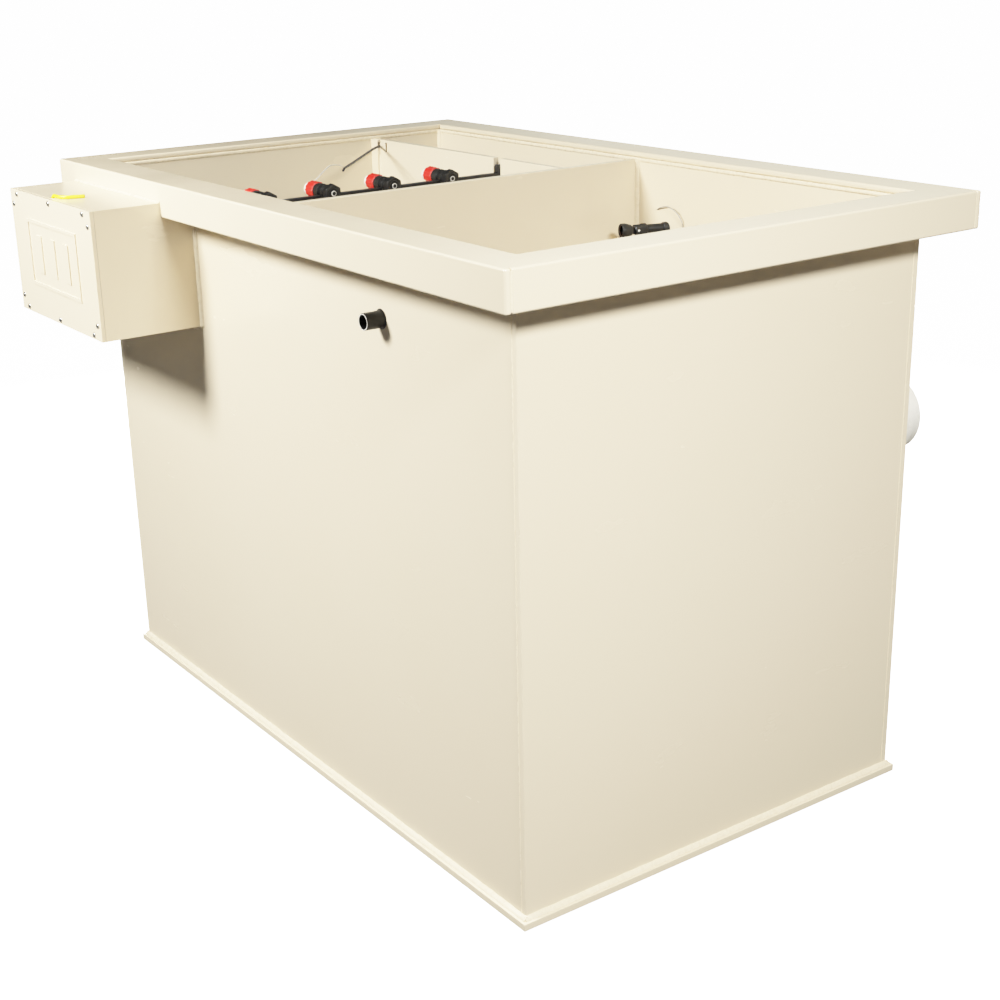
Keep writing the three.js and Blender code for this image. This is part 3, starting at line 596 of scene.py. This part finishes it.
def screw_circle(radius):
    angles = (2 * math.pi * k / HEAD_SPOKES for k in range(HEAD_SPOKES))
    return [(radius * math.cos(angle), radius * math.sin(angle)) for angle in angles]


def shank_profile():
    """(radius, distance) points of the threaded shank, from the head's seat to the tip."""
    profile = [(HEAD_RADIUS, 0), (SHANK_RADIUS, 0)]
    for i in range(int(SHANK_LENGTH / THREAD_PITCH) - 1):
        crest = (i + 0.5) * THREAD_PITCH
        profile.append((SHANK_RADIUS, crest))
        profile.append((SHANK_RADIUS * THREAD_ROOT, crest + THREAD_PITCH / 2))
    profile.append((SHANK_RADIUS * SHANK_TIP, SHANK_LENGTH))
    return profile


def screw_mesh():
    """A pan head over a threaded shank. The head's seat is at the origin and the shank runs along +Y."""
    shape = bmesh.new()
    top = shape.verts.new((0, -head_height(0, 0), 0))
    loops = []
    for i in range(HEAD_RINGS):
        circle = screw_circle(HEAD_RADIUS * (i + 1) / HEAD_RINGS)
        loops.append(add_loop(shape, [(x, -head_height(x, z), z) for x, z in circle]))
    for radius, y in shank_profile():
        loops.append(add_loop(shape, [(x, y, z) for x, z in screw_circle(radius)]))
    for k in range(HEAD_SPOKES):
        shape.faces.new((top, loops[0][k], loops[0][(k + 1) % HEAD_SPOKES]))
    for first, second in zip(loops, loops[1:]):
        join_loops(shape, first, second)
    shape.faces.new(loops[-1])
    return smooth_mesh("pan_head_screw", shape, sharp_angle=38)


def cover_screws():
    mesh = screw_mesh()
    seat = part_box("enclosure_cover")[0].y + COVER_RELIEF
    turns = random.Random("screws")
    for node in sorted(NODES):
        if not node.startswith("cover_screw_"):
            continue
        low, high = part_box(node)
        name = node.replace("cover_screw", "pan_head_screw")
        place = ((low.x + high.x) / 2, seat, (low.z + high.z) / 2)
        turn = (0, turns.uniform(0, math.pi / 2), 0)
        screw = new_piece(name, mesh, FINISHES["zinc_steel"], "cover", place, turn)
        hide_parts(node)


# ---------------------------------------------------------------- small details

def cell_plugs():
    """A dark plug in the end of each head's white core."""
    radius, root, deep, proud = 3.4 * MM, 1.6 * MM, 1.2 * MM, 0.3 * MM
    profile = [
        (0, -deep), (root, -deep), (radius, 0), (radius, proud / 2), (radius - proud, proud), (0, proud)]
    mesh = turned_mesh("cell_plug", profile, PLUS_X)
    for node in sorted(NODES):
        if not node.endswith("_terminal"):
            continue
        low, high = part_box(node)
        name = node.replace("terminal", "plug")
        place = (high.x, (low.y + high.y) / 2, (low.z + high.z) / 2)
        new_piece(name, mesh, FINISHES["black_plastic"], "carrier", place)


def inlet_highlight_ring():
    """A pale ring set in the end of the inlet stub, a painted highlight: it stands for the light that the
    stub's chamfered end catches.
    """
    low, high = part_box("inlet_stub")
    outer, inner, deep, proud = 11.9 * MM, 10.9 * MM, 1.5 * MM, 0.15 * MM
    profile = [(inner, -proud), (outer, -proud), (outer, deep), (inner, deep)]
    ring = turned_mesh("inlet_highlight_ring", profile, PLUS_Y)
    place = ((low.x + high.x) / 2, low.y, (low.z + high.z) / 2)
    new_piece("inlet_highlight_ring", ring, FINISHES["white_plastic"], "tank", place)


def float_joint():
    """The pivot of the level switch, and the directions along and across it."""
    joints = frame["record"]["behaviour"]["joints"]
    swing = next(joint for joint in joints if joint["name"] == "float_swing")
    across = Vector(swing["axis"])
    along = Vector((across.y, -across.x, 0))
    return Vector(swing["pos_m"]), along, across


def switch_details():
    """A rubber ring in the float's mouth and a white head on the end of the cross pin. The head's white is a
    painted glint.
    """
    pivot, along, across = float_joint()
    turn = (0, 0, math.atan2(across.y, across.x))

    outer, inner, deep, ring_place = 11 * MM, 9.9 * MM, 1.4 * MM, 29 * MM
    ring = turned_mesh("float_ring", [(outer, 0), (outer, deep), (inner, deep), (inner, 0)], PLUS_Y)
    new_piece("float_ring", ring, RING, "float", pivot + along * ring_place, turn)

    radius, shoulder, crown, pin_end = 2.0 * MM, 1.4 * MM, 1.3 * MM, 9.3 * MM
    # The head's white colour is a painted glint.
    head = turned_mesh("switch_pin_head_painted_glint", [
        (0, 0), (radius, 0), (radius, 0.5 * MM), (shoulder, 1.1 * MM), (0, crown)], PLUS_X)
    place = pivot + across * pin_end
    new_piece("switch_pin_head_painted_glint", head, FINISHES["white_plastic"], "tank", place, turn)


# ---------------------------------------------------------------- wires in the enclosure

WIRE_RADIUS = 1.2 * MM
WIRE_SIDES = 10
WIRE_STEPS = 6
WIRE_INSIDE = 2 * MM
WIRE_BULGE = 14 * MM


def smooth_path(points):
    """Points along a smooth curve through the given ones."""
    ends = [points[0] * 2 - points[1]] + points + [points[-1] * 2 - points[-2]]
    path = []
    for a, b, c, d in zip(ends, ends[1:], ends[2:], ends[3:]):
        for i in range(WIRE_STEPS):
            t = i / WIRE_STEPS
            path.append(0.5 * (2 * b + (c - a) * t + (2 * a - 5 * b + 4 * c - d) * t ** 2
                               + (3 * b - a - 3 * c + d) * t ** 3))
    return path + [points[-1]]


def wire(name, points, finish):
    path = smooth_path([Vector(point) for point in points])
    side = Vector(PLUS_X)
    rings = []
    for i, place in enumerate(path):
        ahead = (path[min(i + 1, len(path) - 1)] - path[max(i - 1, 0)]).normalized()
        side = (side - ahead * side.dot(ahead)).normalized()
        other = ahead.cross(side)
        rings.append([
            place + (side * math.cos(angle) + other * math.sin(angle)) * WIRE_RADIUS
            for angle in (2 * math.pi * k / WIRE_SIDES for k in range(WIRE_SIDES))])
    new_piece(name, swept_mesh(name, rings), FINISHES[finish], "tank")


def device_wires():
    """Three wires from the power supply and three from the board, to the front of the terminal block."""
    block_low, block_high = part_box("terminal_block")
    face = block_low.y
    middle = (block_low.z + block_high.z) / 2
    for name, node in (("supply", "power_supply"), ("board", "control_board")):
        low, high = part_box(node)
        start_y = low.y * 0.35 + high.y * 0.65
        for i, finish in enumerate(("red_plastic", "black_plastic", "grey_housing")):
            x = low.x + (high.x - low.x) * (1 + i) / 4
            wire(f"wire_{name}_{i + 1}", [
                (x, start_y, low.z + WIRE_INSIDE),
                (x, start_y - 3 * MM, low.z - 3 * MM),
                (x + 4 * MM, face - WIRE_BULGE, middle + 8 * MM),
                (x + 6 * MM, face - WIRE_BULGE * 0.8, middle + 2 * MM),
                (x + 6 * MM, face + WIRE_INSIDE, middle)], finish)


def entry_wires():
    """Two wires from the terminal block down into the gland."""
    block_low, block_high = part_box("terminal_block")
    gland_low, gland_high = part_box("cable_gland")
    face = block_low.y
    middle = (block_low.z + block_high.z) / 2
    centre_x, centre_y = (gland_low.x + gland_high.x) / 2, (gland_low.y + gland_high.y) / 2
    for number, side, finish in ((1, -1, "black_plastic"), (2, 1, "grey_housing")):
        block_x = centre_x + side * 11 * MM
        gland_x = centre_x + side * 1.5 * MM
        wire(f"wire_entry_{number}", [
            (block_x, face + WIRE_INSIDE, middle),
            (block_x, face - WIRE_BULGE * 0.7, middle - 3 * MM),
            (gland_x, centre_y, gland_high.z + 4 * MM),
            (gland_x, centre_y, gland_high.z - 12 * MM)], finish)


# ---------------------------------------------------------------- stage, light and camera

# Soft boxes: place, what it points at, diameter in metres, watts and colour. The first two light the sides
# that the camera sees. The next two light the left end and the back, and stay below the rim's top, so that
# it doesn't mirror them to the camera. The last is a faint warm one beside the camera.
LIGHTS = {
    "key_light": ((-0.36, -1.97, 1.93), (-0.3, -1.2, 0.6), 0.6, 127, (1, 1, 1)),
    "side_light": ((2.15, -0.46, 1.9), (2.08, -0.44, 0.9), 0.55, 131, (1, 1, 1)),
    "left_light": ((-2.7, 0.6, 0.45), (0, 0.1, 0.45), 0.8, 95, (1, 1, 1)),
    "back_light": ((-0.2, 2.7, 0.45), (0, 0, 0.45), 0.85, 95, (1, 1, 1)),
    "camera_fill": ((1.9, -2.4, 1.6), (0, 0, 0.6), 1.6, 1.2, (1, 0.93, 0.84)),
}
FLOOR_HALF = 40
FLOOR_BELOW = 0.5 * MM
FLOOR_BOUNCE = 0.1
FLOOR_SEEN = 0.8
FLOOR_GLOW = 3.2
SKY_LIGHT = 0.01
SKY_LIGHT_TINT = (1, 0.97, 0.8, 1)
SKY_SEEN = 4.0
SKY_BRIGHT_SIDE = 1.3
SKY_DARK_SIDE = 0.02
SKY_BEARING = math.radians(57)  # the way to the bright side, from +X towards +Y
SKY_EDGE = (-0.09, 0.12)  # cosines of the angles from that bearing where it is all dark and all bright
WHITE = (1, 1, 1, 1)
FILM_RANGE = 4.0
FILM_SHOULDER = 0.75
FILM_LEVELS = (0.1, 0.25, 0.5, 0.8, 1.2, 1.7, 2.4)
CAMERA_PLACE = (2.253, -1.566, 1.353)
CAMERA_AZIMUTH, CAMERA_ELEVATION, CAMERA_ROLL = 55.3, 19.4, -1.51
CAMERA_LENS = 58.63
CAMERA_SHIFT = (0.0261, 0.0025)


def floor():
    """A pale floor. It looks near white to the camera, but throws little light back up at the object."""
    mesh = bpy.data.meshes.new("floor")
    corners = [(-1, -1), (1, -1), (1, 1), (-1, 1)]
    mesh.from_pydata([(x * FLOOR_HALF, y * FLOOR_HALF, 0) for x, y in corners], [], [(0, 1, 2, 3)])
    piece = bpy.data.objects.new("floor", mesh)
    bpy.context.scene.collection.objects.link(piece)
    piece.location.z = -FLOOR_BELOW
    finish = Finish("floor_paint", (FLOOR_BOUNCE, FLOOR_BOUNCE, FLOOR_BOUNCE, 1), 0.9, specular=0.05)
    to_camera = finish.tree.nodes.new("ShaderNodeLightPath").outputs["Is Camera Ray"]
    finish.tint(to_camera, (FLOOR_SEEN, FLOOR_SEEN, FLOOR_SEEN, 1))
    finish.bsdf.inputs["Emission Color"].default_value = WHITE
    finish.link(finish.ramp(to_camera, 0, 1, 0, FLOOR_GLOW), finish.bsdf.inputs["Emission Strength"])
    piece.data.materials.append(finish.material)


def lights():
    for name, (place, target, size, power, color) in LIGHTS.items():
        light = bpy.data.lights.new(name, "AREA")
        light.shape = "DISK"
        light.size = size
        light.energy = power
        light.color = color
        piece = bpy.data.objects.new(name, light)
        bpy.context.scene.collection.objects.link(piece)
        piece.location = place
        piece.rotation_euler = (Vector(target) - Vector(place)).to_track_quat("-Z", "Y").to_euler()


def sky_in_reflections(tree):
    """The brightness that a reflection sees: high on one side, low on the other."""
    direction = tree.nodes.new("ShaderNodeTexCoord").outputs["Generated"]
    side = tree.nodes.new("ShaderNodeVectorMath")
    side.operation = "DOT_PRODUCT"
    side.inputs[1].default_value = (math.cos(SKY_BEARING), math.sin(SKY_BEARING), 0)
    tree.links.new(direction, side.inputs[0])
    brightness = tree.nodes.new("ShaderNodeMapRange")
    brightness.inputs["From Min"].default_value, brightness.inputs["From Max"].default_value = SKY_EDGE
    brightness.inputs["To Min"].default_value = SKY_DARK_SIDE
    brightness.inputs["To Max"].default_value = SKY_BRIGHT_SIDE
    tree.links.new(side.outputs["Value"], brightness.inputs["Value"])
    return brightness.outputs["Result"]


def sky():
    """A white surround: bright to the camera, dimmer on one side in reflections, nearly off as a light."""
    world = bpy.data.worlds.new("studio")
    bpy.context.scene.world = world
    world.use_nodes = True
    tree = world.node_tree
    ray = tree.nodes.new("ShaderNodeLightPath").outputs

    unseen = tree.nodes.new("ShaderNodeMix")
    unseen.inputs["A"].default_value = SKY_LIGHT
    tree.links.new(ray["Is Glossy Ray"], unseen.inputs["Factor"])
    tree.links.new(sky_in_reflections(tree), unseen.inputs["B"])
    level = tree.nodes.new("ShaderNodeMix")
    level.inputs["B"].default_value = SKY_SEEN
    tree.links.new(ray["Is Camera Ray"], level.inputs["Factor"])
    tree.links.new(unseen.outputs["Result"], level.inputs["A"])

    color = tree.nodes.new("ShaderNodeMix")
    color.data_type = "RGBA"
    color.inputs[MIX_FIRST].default_value = SKY_LIGHT_TINT
    color.inputs[MIX_SECOND].default_value = WHITE
    tree.links.new(ray["Is Camera Ray"], color.inputs["Factor"])
    background = tree.nodes["Background"]
    tree.links.new(color.outputs[MIX_RESULT], background.inputs["Color"])
    tree.links.new(level.outputs["Result"], background.inputs["Strength"])


def film():
    """A camera's tone curve: bright sheets roll off softly, while shadows stay deep."""
    view = bpy.context.scene.view_settings
    view.view_transform = "Standard"
    view.use_curve_mapping = True
    curves = view.curve_mapping
    curves.white_level = (FILM_RANGE,) * 3
    every_channel = curves.curves[3]
    for light in FILM_LEVELS:
        every_channel.points.new(light / FILM_RANGE, 1 - math.exp(-light / FILM_SHOULDER))
    curves.update()


def camera():
    """The camera stands at the photograph's viewing angle."""
    azimuth = math.radians(CAMERA_AZIMUTH)
    elevation = math.radians(CAMERA_ELEVATION)
    roll = math.radians(CAMERA_ROLL)
    reach = math.cos(elevation)
    forward = Vector((-math.sin(azimuth) * reach, math.cos(azimuth) * reach, -math.sin(elevation)))
    level = forward.cross(Vector(UP)).normalized()
    upright = level.cross(forward)
    right = level * math.cos(roll) + upright * math.sin(roll)
    up = upright * math.cos(roll) - level * math.sin(roll)
    data = bpy.data.cameras.new("camera")
    data.sensor_width = 36
    data.lens = CAMERA_LENS
    data.shift_x, data.shift_y = CAMERA_SHIFT
    data.clip_start = 0.05
    piece = bpy.data.objects.new("camera", data)
    bpy.context.scene.collection.objects.link(piece)
    rotation = Matrix((right, up, -forward)).transposed().to_4x4()
    piece.matrix_world = Matrix.Translation(Vector(CAMERA_PLACE)) @ rotation
    bpy.context.scene.camera = piece


# ---------------------------------------------------------------- the scene

dress_nodes()
tank_welds()
partition_welds()
enclosure_welds()
duct_weld()
bracket_welds()
rim_joints()
cover_screws()
cell_plugs()
inlet_highlight_ring()
switch_details()
device_wires()
entry_wires()

floor()
lights()
sky()
camera()
film()
